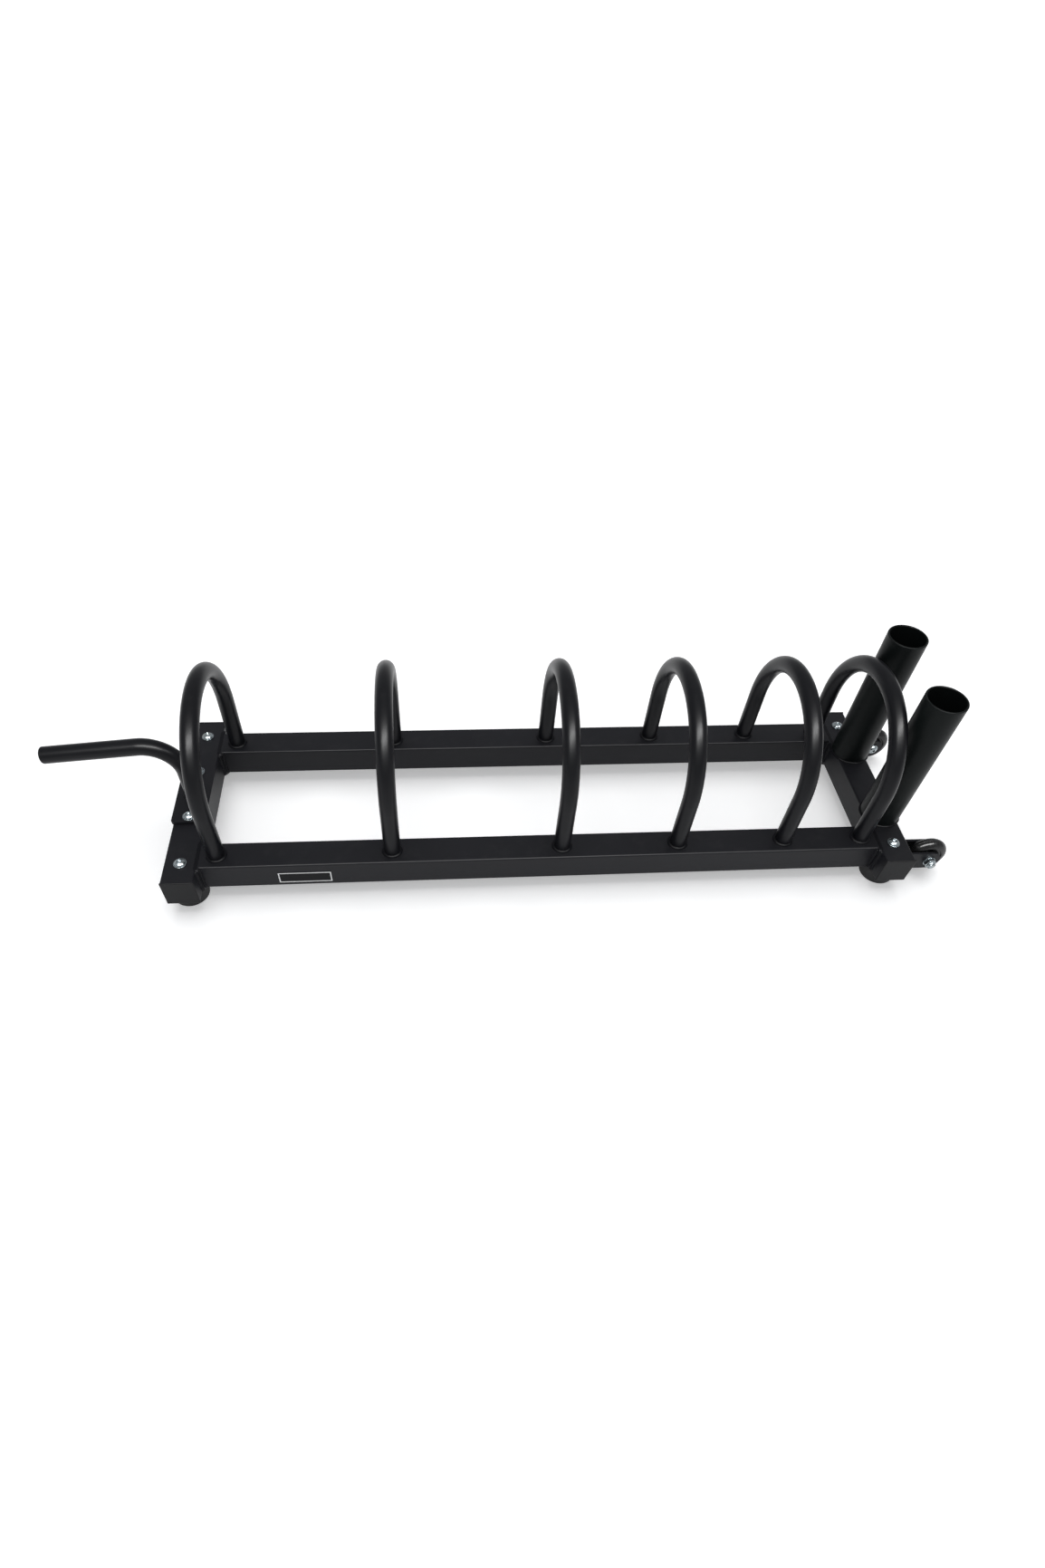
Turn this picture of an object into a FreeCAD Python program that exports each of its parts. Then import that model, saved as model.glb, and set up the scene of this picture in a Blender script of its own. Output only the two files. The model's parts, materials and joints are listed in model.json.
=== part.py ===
"""Rolling storage rack for olympic weight plates, with two upright bar holders.

Two square rails lie on two square cross members. Six hoops of round tube stand across the rails and make
five slots for plates. Two open tubes on one cross member hold bars on end. A bent tow handle stands on the
other cross member, and two small wheels sit on brackets just above the floor on the bar holder side.

Millimetres. +X runs along the rails towards the bar holders, +Y from the front rail to the rear rail and
+Z up. The origin is on the floor, under the middle of the whole rack.
"""

import FreeCAD
import Part

import math
import os

from FreeCAD import Vector

# Square tube frame
FRAME_LENGTH = 1200.0
RAIL_SPACING = 255.0
TUBE_SIDE = 50.0
TUBE_WALL = 3.0
TUBE_CORNER = 3.0
TUBE_INNER_CORNER = 1.0
MEMBER_OVERHANG = 27.5
END_PLATE_THICKNESS = 4.0
END_PLATE_OVERHANG = 6.0
CAP_LIP = 2.0
CAP_PROUD = 0.5
CAP_ROUND = 1.5
CAP_DEPTH = 14.0
CAP_WALL = 2.5

# Hoops
HOOP_TUBE = 27.0
HOOP_WALL = 2.5
HOOP_RISE = 222.0
HOOP_END_GAP = 78.0
SLOT_PITCHES = (272.0, 190.0, 177.0, 132.0)

# Bar holders
HOLDER_OUTSIDE = 63.0
HOLDER_WALL = 3.0
HOLDER_HEIGHT = 249.0
HOLDER_SPACING = 151.0
HOLDER_FLOOR = 3.0
HOLDER_LIP = 1.2

# Tow handle
HANDLE_TUBE = 27.0
HANDLE_WALL = 2.5
HANDLE_BEND = 55.0
HANDLE_RISE = 113.0
HANDLE_DROOP = 5.4
HANDLE_REACH = 176.0
HANDLE_PLATE = (54.0, 124.0, 6.0)
HANDLE_PLATE_CORNER = 5.0
HANDLE_BOLT_SPACING = 100.0
PLUG_LIP = 4.0
PLUG_DEPTH = 16.0
PLUG_ROUND = 2.5

# Feet
FOOT_HEIGHT = 25.0
FOOT_TOP = 60.0
FOOT_BOTTOM = 56.0
FOOT_EDGE = 2.0
FOOT_OFFSET = 15.0
FOOT_RECESS = (26.0, 13.0)

# Wheels
WHEEL_RADIUS = 34.0
WHEEL_WIDTH = 22.0
TREAD_RADIUS = 11.0
TYRE_INNER = 22.0
HUB_RIM = 3.5
HUB_RIM_WIDTH = 18.0
HUB_WEB = 6.0
HUB_BOSS = 11.0
AXLE_HEIGHT = 37.0
AXLE_REACH = 50.0
BRACKET_GAP = 25.0
BRACKET_PLATE = 4.0
BRACKET_WIDTH = 37.0
BRACKET_NOTCH = 2.0
SLEEVE_WALL = 1.35

# Badge
BADGE = (84.0, 0.6, 24.5)
BADGE_OFFSET = 212.5
BADGE_RISE = 8.0
BADGE_CORNER = 1.5

# M10 fasteners
BOLT = 10.0
BOLT_HEAD = 17.5
BOLT_HEAD_HEIGHT = 5.5
BOLT_CHAMFER = 1.0
SOCKET_WIDTH = 6.0
SOCKET_DEPTH = 3.5
WASHER_OUTSIDE = 20.0
WASHER_THICKNESS = 2.0
NUT_WIDTH = 17.0
NUT_HEIGHT = 8.0
NUT_CHAMFER = 1.0
LOCK_NUT_HEIGHT = 10.0
THREAD_SHOW = 1.5

# Clearances
HOOP_HOLE_CLEARANCE = 0.3
BOLT_HOLE_CLEARANCE = 0.5
NUT_CLEARANCE = 0.1
WASHER_CLEARANCE = 0.25
SLEEVE_CLEARANCE = 0.15
HUB_RUNNING_CLEARANCE = 0.06
HUB_SIDE_CLEARANCE = 1.0
INSERT_CLEARANCE = 0.2
TYRE_CLEARANCE = 0.02

# How closely an edge's place or direction has to match to be picked for rounding
NEAR = 0.01
PARALLEL = 0.99

# Levels and places that follow from the sizes above
DECK = FOOT_HEIGHT + TUBE_SIDE
TUBE_BOTTOM = FOOT_HEIGHT
TUBE_FLOOR = TUBE_BOTTOM + TUBE_WALL
RAIL_Y = RAIL_SPACING / 2
MEMBER_LENGTH = RAIL_SPACING + TUBE_SIDE + 2 * MEMBER_OVERHANG
MEMBER_X = (FRAME_LENGTH - TUBE_SIDE) / 2
RAIL_LENGTH = FRAME_LENGTH - 2 * (TUBE_SIDE + END_PLATE_THICKNESS)
WHEEL_X = FRAME_LENGTH / 2 + AXLE_REACH
WHEEL_Y = RAIL_Y + TUBE_SIDE / 2 - (BRACKET_GAP / 2 + BRACKET_PLATE)
FOOT_Y = RAIL_Y + FOOT_OFFSET
HANDLE_TIP = FRAME_LENGTH / 2 + HANDLE_REACH
BOLT_RADIUS = BOLT / 2
SLEEVE_RADIUS = BOLT_RADIUS + SLEEVE_CLEARANCE + SLEEVE_WALL
UP = Vector(0, 0, 1)

# The frame's middle stands this far along X from the middle of the whole rack
droop = math.radians(HANDLE_DROOP)
tip_reach = HANDLE_TIP + PLUG_LIP * math.cos(droop) + (HANDLE_TUBE / 2 - PLUG_ROUND) * math.sin(droop)
MIDDLE_SHIFT = (tip_reach - (WHEEL_X + WHEEL_RADIUS)) / 2


def save(name, *solids):
    """Write one sub-part, moved from the frame's own middle to the rack's origin."""
    shape = solids[0] if len(solids) == 1 else Part.makeCompound(list(solids))
    shape.translate(Vector(MIDDLE_SHIFT, 0, 0))
    shape.exportStep(f"parts/{name}.step")


def block(length, depth, height, centre):
    """Box with its centre at the given point."""
    corner = centre - Vector(length, depth, height) / 2
    return Part.makeBox(length, depth, height, corner)


def rounded_block(length, depth, height, centre, radius, along):
    """Box whose four edges that run along one direction are rounded."""
    shape = block(length, depth, height, centre)
    edges = [e for e in shape.Edges if abs(e.tangentAt(e.FirstParameter).dot(along)) > PARALLEL]
    return shape.makeFillet(radius, edges)


def rod(radius, start, end):
    """Round bar between two points."""
    return Part.makeCylinder(radius, (end - start).Length, start, end - start)


def pipe(outer, inner, start, end):
    """Round tube between two points."""
    return rod(outer, start, end).cut(rod(inner, start, end))


def square_tube(length, centre, along):
    """Square tube with rounded corners, along X or along Y."""
    across = Vector(1, 1, 1) * TUBE_SIDE
    size = across + along * (length - TUBE_SIDE)
    hollow = size - (across - along * TUBE_SIDE) * (2 * TUBE_WALL / TUBE_SIDE)
    outside = rounded_block(size.x, size.y, size.z, centre, TUBE_CORNER, along)
    inside = rounded_block(hollow.x, hollow.y, hollow.z, centre, TUBE_INNER_CORNER, along)
    return outside.cut(inside)


def swept_tube(path, outer, inner):
    """Round tube along a wire that begins straight up."""
    start = path.Edges[0].Vertexes[0].Point
    skins = []
    for radius in (outer, inner):
        ring = Part.Wire(Part.makeCircle(radius, start, UP))
        skins.append(path.makePipeShell([ring], True, False))
    return skins[0].cut(skins[1])


def revolved(points, axis_point, axis):
    """Solid of revolution from a closed outline of straight lines."""
    outline = Part.makePolygon(points + [points[0]])
    return Part.Face(outline).revolve(axis_point, axis, 360)


def hexagon_bar(width, height, base, along):
    """Six-sided bar, measured across its flats."""
    corner = width / math.sqrt(3)
    turns = [side * math.pi / 3 for side in range(7)]
    rim = [Vector(corner * math.cos(turn), corner * math.sin(turn), 0) for turn in turns]
    bar = Part.Face(Part.makePolygon(rim)).extrude(UP * height)
    bar.Placement = FreeCAD.Placement(base, FreeCAD.Rotation(UP, along))
    return bar


def washer(base, along):
    """Plain washer on a face."""
    top = base + along * WASHER_THICKNESS
    return pipe(WASHER_OUTSIDE / 2, BOLT_RADIUS + WASHER_CLEARANCE, base, top)


def hex_nut(base, along, height):
    """Hexagon nut with both faces' corners turned off, clear of the thread."""
    body = hexagon_bar(NUT_WIDTH, height, base, along)
    turned = rod(NUT_WIDTH / math.sqrt(3), base, base + along * height)
    turned = turned.makeChamfer(NUT_CHAMFER, [e for e in turned.Edges if e.Closed])
    bore = rod(BOLT_RADIUS + NUT_CLEARANCE, base, base + along * height)
    return body.common(turned).cut(bore)


def button_bolt(seat, along, length):
    """Bolt with a domed head and a hexagon socket; along points from the seat towards the nut."""
    tip = seat + along * length
    shank = rod(BOLT_RADIUS, seat, tip)
    tip_edge = [e for e in shank.Edges if e.Closed and e.CenterOfMass.distanceToPoint(tip) < NEAR]
    shank = shank.makeChamfer(BOLT_CHAMFER, tip_edge)
    half = BOLT_HEAD / 2
    dome_radius = (half * half + BOLT_HEAD_HEIGHT * BOLT_HEAD_HEIGHT) / (2 * BOLT_HEAD_HEIGHT)
    dome_centre = seat + along * (dome_radius - BOLT_HEAD_HEIGHT)
    dome = Part.makeSphere(dome_radius, dome_centre)
    crown = seat - along * BOLT_HEAD_HEIGHT
    head = rod(half, seat, crown).common(dome)
    socket = hexagon_bar(SOCKET_WIDTH, SOCKET_DEPTH, crown, along)
    return head.fuse(shank).cut(socket).removeSplitter()


def both_sides():
    """The names of the two rails' sides, with the sign of Y for each."""
    return (("front", -1), ("rear", 1))


def both_ends():
    """The names of the frame's two ends, with the sign of X for each."""
    return (("handle_end", -1), ("wheel_end", 1))


def hoop_places():
    """X of each hoop; the widest slot, at the handle end, takes what the other slots leave of the frame."""
    places = [FRAME_LENGTH / 2 - HOOP_END_GAP]
    for pitch in reversed(SLOT_PITCHES):
        places.append(places[-1] - pitch)
    places.append(HOOP_END_GAP - FRAME_LENGTH / 2)
    return list(reversed(places))


def foot_places():
    """The four feet's axes, on the floor."""
    return [Vector(end * MEMBER_X, side * FOOT_Y, 0) for _, end in both_ends() for _, side in both_sides()]


def handle_bolt_places():
    """Where the two bolts of the handle base plate meet the deck."""
    return [Vector(-MEMBER_X, side * HANDLE_BOLT_SPACING / 2, DECK) for _, side in both_sides()]


def rail(side):
    """Square tube with a round hole in its top wall for each hoop leg."""
    shape = square_tube(RAIL_LENGTH, Vector(0, side * RAIL_Y, DECK - TUBE_SIDE / 2), Vector(1, 0, 0))
    radius = HOOP_TUBE / 2 + HOOP_HOLE_CLEARANCE
    for x in hoop_places():
        top = Vector(x, side * RAIL_Y, DECK)
        shape = shape.cut(rod(radius, top - UP * 2 * TUBE_WALL, top + UP))
    return shape


def rail_end_plate(end, side):
    """Flat plate that joins a rail's end to the side of a cross member."""
    x = end * (RAIL_LENGTH + END_PLATE_THICKNESS) / 2
    width = TUBE_SIDE + 2 * END_PLATE_OVERHANG
    centre = Vector(x, side * RAIL_Y, DECK - TUBE_SIDE / 2)
    return rounded_block(END_PLATE_THICKNESS, width, TUBE_SIDE, centre, TUBE_CORNER, Vector(1, 0, 0))


def cross_member(end):
    """Square tube across the rails' ends, drilled for the feet's bolts and the handle's."""
    shape = square_tube(MEMBER_LENGTH, Vector(end * MEMBER_X, 0, DECK - TUBE_SIDE / 2), Vector(0, 1, 0))
    places = [p for p in foot_places() if p.x * end > 0]
    if end < 0:
        places = places + handle_bolt_places()
    for place in places:
        low = Vector(place.x, place.y, TUBE_BOTTOM - 1)
        shape = shape.cut(rod(BOLT_RADIUS + BOLT_HOLE_CLEARANCE, low, low + UP * (TUBE_SIDE + 2)))
    return shape


def end_cap(end, side):
    """Square plastic plug with a lip that covers the tube's end and a hollow insert."""
    middle = Vector(end * MEMBER_X, side * MEMBER_LENGTH / 2, DECK - TUBE_SIDE / 2)
    out = Vector(0, side, 0)
    lip_side = TUBE_SIDE + 2 * CAP_PROUD
    lip = block(lip_side, CAP_LIP, lip_side, middle + out * CAP_LIP / 2)
    face = middle + out * CAP_LIP
    corners = [e for e in lip.Edges if abs(e.tangentAt(e.FirstParameter).y) > PARALLEL]
    rim = [e for e in lip.Edges if abs(e.CenterOfMass.y - face.y) < NEAR]
    lip = lip.makeFillet(CAP_ROUND, corners + rim)
    insert = TUBE_SIDE - 2 * TUBE_WALL - 2 * INSERT_CLEARANCE
    hollow = insert - 2 * CAP_WALL
    stem_centre = middle - out * CAP_DEPTH / 2
    stem = rounded_block(insert, CAP_DEPTH, insert, stem_centre, TUBE_CORNER / 2, out)
    return lip.fuse(stem.cut(block(hollow, CAP_DEPTH, hollow, stem_centre)))


def hoop(x):
    """Round tube bent to an upside-down U, from the floor of one rail to the floor of the other."""
    spring_line = DECK + HOOP_RISE - RAIL_Y
    points = [
        Vector(x, -RAIL_Y, TUBE_FLOOR),
        Vector(x, -RAIL_Y, spring_line),
        Vector(x, 0, DECK + HOOP_RISE),
        Vector(x, RAIL_Y, spring_line),
        Vector(x, RAIL_Y, TUBE_FLOOR),
    ]
    near_leg = Part.makeLine(points[0], points[1])
    bend = Part.Arc(points[1], points[2], points[3]).toShape()
    far_leg = Part.makeLine(points[3], points[4])
    radius = HOOP_TUBE / 2
    return swept_tube(Part.Wire([near_leg, bend, far_leg]), radius, radius - HOOP_WALL)


def holder_foot(side):
    """Where a bar holder's axis meets the deck."""
    return Vector(MEMBER_X, side * HOLDER_SPACING / 2, DECK)


def bar_holder(side):
    """Upright tube that stands on its floor disc, with an open mouth rounded at the rim."""
    foot = holder_foot(side)
    top = foot + UP * HOLDER_HEIGHT
    radius = HOLDER_OUTSIDE / 2
    shape = pipe(radius, radius - HOLDER_WALL, foot + UP * HOLDER_FLOOR, top)
    rim = [e for e in shape.Edges if e.Closed and abs(e.CenterOfMass.z - top.z) < NEAR]
    return shape.makeFillet(HOLDER_LIP, rim)


def holder_floor(side):
    """Disc on the deck that closes a bar holder's foot."""
    foot = holder_foot(side)
    return rod(HOLDER_OUTSIDE / 2, foot, foot + UP * HOLDER_FLOOR)


def handle_base_plate():
    """Rounded plate that lies on the cross member under the handle."""
    length, width, thickness = HANDLE_PLATE
    centre = Vector(-MEMBER_X, 0, DECK + thickness / 2)
    shape = rounded_block(length, width, thickness, centre, HANDLE_PLATE_CORNER, UP)
    for place in handle_bolt_places():
        shape = shape.cut(rod(BOLT_RADIUS + BOLT_HOLE_CLEARANCE, place, place + UP * thickness))
    return shape


def handle_bend_point(angle):
    """Point on the handle's bend, where angle 0 is the top of the upright leg."""
    centre = Vector(HANDLE_BEND + MEMBER_X, 0, 0) * -1 + UP * (DECK + HANDLE_RISE - HANDLE_BEND)
    return centre + Vector(math.cos(angle), 0, math.sin(angle)) * HANDLE_BEND


def handle_direction():
    """Direction of the handle's grip, outwards and slightly down."""
    return Vector(-math.cos(droop), 0, -math.sin(droop))


def handle_end():
    """Centre of the handle tube's open end."""
    start = handle_bend_point(math.pi / 2 + droop)
    run = (HANDLE_TIP + start.x) / math.cos(droop)
    return start + handle_direction() * run


def handle_tube():
    """Tube that rises from the base plate, bends past level and runs out to the grip's end."""
    turn = math.pi / 2 + droop
    foot = Vector(-MEMBER_X, 0, DECK + HANDLE_PLATE[2])
    leg = Part.makeLine(foot, handle_bend_point(0))
    bend = Part.Arc(handle_bend_point(0), handle_bend_point(turn / 2), handle_bend_point(turn)).toShape()
    grip = Part.makeLine(handle_bend_point(turn), handle_end())
    radius = HANDLE_TUBE / 2
    return swept_tube(Part.Wire([leg, bend, grip]), radius, radius - HANDLE_WALL)


def handle_plug():
    """Plastic plug in the handle's open end, with a rounded lip."""
    end = handle_end()
    out = handle_direction()
    radius = HANDLE_TUBE / 2
    lip = rod(radius, end, end + out * PLUG_LIP)
    far = end + out * PLUG_LIP
    rim = [e for e in lip.Edges if e.Closed and e.CenterOfMass.distanceToPoint(far) < NEAR]
    stem = rod(radius - HANDLE_WALL - INSERT_CLEARANCE, end - out * PLUG_DEPTH, end)
    return lip.makeFillet(PLUG_ROUND, rim).fuse(stem)


def foot(place):
    """Round rubber foot with a recess underneath for the nut."""
    shape = Part.makeCone(FOOT_BOTTOM / 2, FOOT_TOP / 2, FOOT_HEIGHT, place)
    shape = shape.makeFillet(FOOT_EDGE, [e for e in shape.Edges if e.Closed])
    recess_width, recess_depth = FOOT_RECESS
    shape = shape.cut(rod(recess_width / 2, place, place + UP * recess_depth))
    return shape.cut(rod(BOLT_RADIUS + BOLT_HOLE_CLEARANCE, place, place + UP * FOOT_HEIGHT))


def foot_bolt(place):
    """Long bolt from the deck down into the foot's recess."""
    seat = Vector(place.x, place.y, DECK + WASHER_THICKNESS)
    tip = FOOT_RECESS[1] - WASHER_THICKNESS - NUT_HEIGHT - THREAD_SHOW
    return button_bolt(seat, -UP, seat.z - tip)


def foot_washers(place):
    """One washer under the bolt's head and one in the foot's recess."""
    upper = washer(Vector(place.x, place.y, DECK), UP)
    lower = washer(place + UP * FOOT_RECESS[1], -UP)
    return [upper, lower]


def foot_nut(place):
    """Nut in the foot's recess."""
    return hex_nut(place + UP * (FOOT_RECESS[1] - WASHER_THICKNESS), -UP, NUT_HEIGHT)


def handle_bolt(place):
    """Bolt through the base plate and the cross member."""
    seat = place + UP * (HANDLE_PLATE[2] + WASHER_THICKNESS)
    tip = TUBE_BOTTOM - WASHER_THICKNESS - NUT_HEIGHT - THREAD_SHOW
    return button_bolt(seat, -UP, seat.z - tip)


def handle_washers(place):
    """One washer on the base plate and one under the cross member."""
    upper = washer(place + UP * HANDLE_PLATE[2], UP)
    lower = washer(Vector(place.x, place.y, TUBE_BOTTOM), -UP)
    return [upper, lower]


def handle_nut(place):
    """Nut under the cross member."""
    return hex_nut(Vector(place.x, place.y, TUBE_BOTTOM - WASHER_THICKNESS), -UP, NUT_HEIGHT)


def axle_centre(side):
    """Middle of a wheel."""
    return Vector(WHEEL_X, side * WHEEL_Y, AXLE_HEIGHT)


def wheel_bracket(side):
    """U of flat plate on the cross member's side, with a rounded cheek each side of the wheel.

    Its heel is notched where the foot stands out past the cross member.
    """
    centre = axle_centre(side)
    reach = AXLE_REACH
    width = BRACKET_GAP + 2 * BRACKET_PLATE
    root = FRAME_LENGTH / 2
    half = BRACKET_WIDTH / 2
    arm = block(reach, width, BRACKET_WIDTH, Vector(root + reach / 2, centre.y, centre.z))
    across = Vector(0, width / 2, 0)
    shape = arm.fuse(rod(half, centre - across, centre + across)).removeSplitter()
    gap_length = reach + half
    gap_centre = Vector(root + BRACKET_PLATE + gap_length / 2, centre.y, centre.z)
    shape = shape.cut(block(gap_length, BRACKET_GAP, BRACKET_WIDTH + 2, gap_centre))
    notch_side = 2 * ((FOOT_TOP - TUBE_SIDE) / 2 + BRACKET_NOTCH)
    notch_centre = Vector(root, centre.y, (TUBE_BOTTOM + BRACKET_NOTCH) / 2)
    shape = shape.cut(block(notch_side, width, TUBE_BOTTOM + BRACKET_NOTCH, notch_centre))
    return shape.cut(rod(BOLT_RADIUS + BOLT_HOLE_CLEARANCE, centre - across, centre + across))


def wheel_tyre(side):
    """Rubber ring with a full round tread."""
    centre = axle_centre(side)
    along = Vector(0, 1, 0)
    half = WHEEL_WIDTH / 2
    ring = pipe(WHEEL_RADIUS, TYRE_INNER, centre - along * half, centre + along * half)
    tread = Part.makeTorus(WHEEL_RADIUS - TREAD_RADIUS, TREAD_RADIUS, centre, along)
    core = rod(WHEEL_RADIUS - TREAD_RADIUS, centre - along * half, centre + along * half)
    return ring.common(tread.fuse(core))


def wheel_hub(side):
    """Plastic hub: a rim under the tyre, a thin web and a boss that runs on the sleeve."""
    centre = axle_centre(side)
    rim = TYRE_INNER - TYRE_CLEARANCE
    boss_half = BRACKET_GAP / 2 - HUB_SIDE_CLEARANCE
    corners = [
        (0, boss_half), (HUB_BOSS, boss_half), (HUB_BOSS, HUB_WEB / 2), (rim - HUB_RIM, HUB_WEB / 2),
        (rim - HUB_RIM, HUB_RIM_WIDTH / 2), (rim, HUB_RIM_WIDTH / 2),
    ]
    outline = corners + [(r, -y) for r, y in reversed(corners)]
    points = [centre + Vector(r, y, 0) for r, y in outline]
    along = Vector(0, 1, 0)
    reach = along * BRACKET_GAP
    bore = rod(SLEEVE_RADIUS + HUB_RUNNING_CLEARANCE, centre - reach, centre + reach)
    return revolved(points, centre, along).cut(bore)


def axle_sleeve(side):
    """Steel sleeve between the bracket's cheeks, on which the hub turns."""
    centre = axle_centre(side)
    half = Vector(0, BRACKET_GAP / 2, 0)
    return pipe(SLEEVE_RADIUS, BOLT_RADIUS + SLEEVE_CLEARANCE, centre - half, centre + half)


def axle_bolt(side):
    """Bolt with its head on the inner cheek and its tip past the lock nut on the outer cheek."""
    out = Vector(0, side, 0)
    stack = BRACKET_GAP / 2 + BRACKET_PLATE + WASHER_THICKNESS
    length = 2 * stack + LOCK_NUT_HEIGHT + THREAD_SHOW
    return button_bolt(axle_centre(side) - out * stack, out, length)


def axle_washers(side):
    """One washer on each cheek."""
    out = Vector(0, side, 0)
    cheek = BRACKET_GAP / 2 + BRACKET_PLATE
    centre = axle_centre(side)
    return [washer(centre - out * cheek, -out), washer(centre + out * cheek, out)]


def axle_nut(side):
    """Lock nut on the outer cheek."""
    out = Vector(0, side, 0)
    stack = BRACKET_GAP / 2 + BRACKET_PLATE + WASHER_THICKNESS
    return hex_nut(axle_centre(side) + out * stack, out, LOCK_NUT_HEIGHT)


def badge():
    """Thin blank plate on the outer face of the front rail."""
    length, thickness, height = BADGE
    x = BADGE_OFFSET - FRAME_LENGTH / 2
    y = -(RAIL_Y + TUBE_SIDE / 2 + thickness / 2)
    centre = Vector(x, y, TUBE_BOTTOM + BADGE_RISE + height / 2)
    return rounded_block(length, thickness, height, centre, BADGE_CORNER, Vector(0, 1, 0))


def build_frame():
    """Rails, end plates, cross members, caps and feet."""
    for side_name, side in both_sides():
        save(f"{side_name}_rail", rail(side))
        for end_name, end in both_ends():
            save(f"{side_name}_rail_{end_name}_plate", rail_end_plate(end, side))
            save(f"{side_name}_{end_name}_cap", end_cap(end, side))
            save(f"{side_name}_{end_name}_foot", foot(Vector(end * MEMBER_X, side * FOOT_Y, 0)))
    for end_name, end in both_ends():
        save(f"{end_name}_cross_member", cross_member(end))
    save("foot_bolts", *[foot_bolt(p) for p in foot_places()])
    save("foot_washers", *[w for p in foot_places() for w in foot_washers(p)])
    save("foot_nuts", *[foot_nut(p) for p in foot_places()])
    save("badge", badge())


def build_racking():
    """Hoops and bar holders."""
    for number, x in enumerate(hoop_places(), start=1):
        save(f"hoop_{number}", hoop(x))
    for side_name, side in both_sides():
        save(f"{side_name}_bar_holder", bar_holder(side))
        save(f"{side_name}_bar_holder_floor", holder_floor(side))


def build_handle():
    """Tow handle with its base plate and fasteners."""
    save("handle_base_plate", handle_base_plate())
    save("handle_tube", handle_tube())
    save("handle_plug", handle_plug())
    save("handle_bolts", *[handle_bolt(p) for p in handle_bolt_places()])
    save("handle_washers", *[w for p in handle_bolt_places() for w in handle_washers(p)])
    save("handle_nuts", *[handle_nut(p) for p in handle_bolt_places()])


def build_wheels():
    """Brackets, wheels and their axles."""
    for side_name, side in both_sides():
        save(f"{side_name}_wheel_bracket", wheel_bracket(side))
        save(f"{side_name}_wheel_tyre", wheel_tyre(side))
        save(f"{side_name}_wheel_hub", wheel_hub(side))
        save(f"{side_name}_axle_sleeve", axle_sleeve(side))
        save(f"{side_name}_axle_bolt", axle_bolt(side))
        save(f"{side_name}_axle_washers", *axle_washers(side))
        save(f"{side_name}_axle_nut", axle_nut(side))


os.makedirs("parts", exist_ok=True)
build_frame()
build_racking()
build_handle()
build_wheels()
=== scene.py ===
"""Rolling plate rack: finishes, welds, fasteners, wheels and a pale studio round the loaded frame.

Metres. +X runs along the rails towards the bar holders, +Y from the front rail to the rear rail, +Z up.
"""

import json
import math

import bpy
import numpy as np
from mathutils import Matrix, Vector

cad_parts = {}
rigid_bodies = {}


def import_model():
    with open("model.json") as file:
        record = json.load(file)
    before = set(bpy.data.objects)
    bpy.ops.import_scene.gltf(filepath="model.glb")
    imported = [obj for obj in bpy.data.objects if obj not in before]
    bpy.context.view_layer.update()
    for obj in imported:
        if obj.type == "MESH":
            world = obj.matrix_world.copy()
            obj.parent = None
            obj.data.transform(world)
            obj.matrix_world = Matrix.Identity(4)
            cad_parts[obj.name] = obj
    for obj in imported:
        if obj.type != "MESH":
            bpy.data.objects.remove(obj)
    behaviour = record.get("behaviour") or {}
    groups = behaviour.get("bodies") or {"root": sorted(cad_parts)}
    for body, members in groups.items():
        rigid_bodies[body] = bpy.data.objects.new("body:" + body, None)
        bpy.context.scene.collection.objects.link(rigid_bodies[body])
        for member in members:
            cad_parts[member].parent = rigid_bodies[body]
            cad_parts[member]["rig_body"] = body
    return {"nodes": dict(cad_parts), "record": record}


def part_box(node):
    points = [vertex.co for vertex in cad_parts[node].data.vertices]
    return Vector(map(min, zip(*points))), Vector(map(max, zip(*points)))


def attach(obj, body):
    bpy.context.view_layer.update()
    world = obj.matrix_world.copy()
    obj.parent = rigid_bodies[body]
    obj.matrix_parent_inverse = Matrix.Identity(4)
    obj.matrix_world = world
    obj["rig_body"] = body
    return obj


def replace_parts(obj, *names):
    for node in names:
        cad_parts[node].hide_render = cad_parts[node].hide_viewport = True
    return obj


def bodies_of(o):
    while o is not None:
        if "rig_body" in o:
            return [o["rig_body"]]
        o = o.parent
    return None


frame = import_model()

bl_info = {
    "name": "Plate rack",
    "version": (1, 0, 0),
    "blender": (4, 5, 0),
    "location": "View3D > Sidebar > Rack",
    "description": "Builds the finishes, welds, fasteners, wheels and studio of a rolling plate rack",
    "category": "Add Mesh",
}

X, Y, Z = np.eye(3)
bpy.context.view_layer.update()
SIDES = (("front", -1), ("rear", 1))
ENDS = (("handle_end", -1), ("wheel_end", 1))
HOOPS = [f"hoop_{number}" for number in range(1, 7)]


def low(node):
    """Lowest corner of a node's box."""
    return np.array(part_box(node)[0])


def high(node):
    """Highest corner of a node's box."""
    return np.array(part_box(node)[1])


def middle(node):
    """Middle of a node's box."""
    return (low(node) + high(node)) / 2


def half_size(node):
    """Half of a node's box along each axis."""
    return (high(node) - low(node)) / 2


def body_of(node):
    """Name of the body that a node moves with."""
    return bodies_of(frame["nodes"][node])[0]


# ---------------------------------------------------------------- surfaces

def joined(parts):
    """One list of vertices and one of faces out of several, by moving each part's face numbers along."""
    vertices, faces, count = [], [], 0
    for points, polygons in parts:
        vertices.append(points)
        faces.extend([[v + count for v in polygon] for polygon in polygons])
        count += len(points)
    return np.concatenate(vertices), faces


def outward(points, faces):
    """Turns a closed surface's faces round if its signed volume is negative. The volume is the sum of the
    tetrahedra from the origin to each triangle."""
    fan = np.array([[f[0], f[k], f[k + 1]] for f in faces for k in range(1, len(f) - 1)])
    a, b, c = points[fan[:, 0]], points[fan[:, 1]], points[fan[:, 2]]
    volume = np.einsum("ij,ij->i", a, np.cross(b, c)).sum()
    return (points, [f[::-1] for f in faces]) if volume < 0 else (points, faces)


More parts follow.
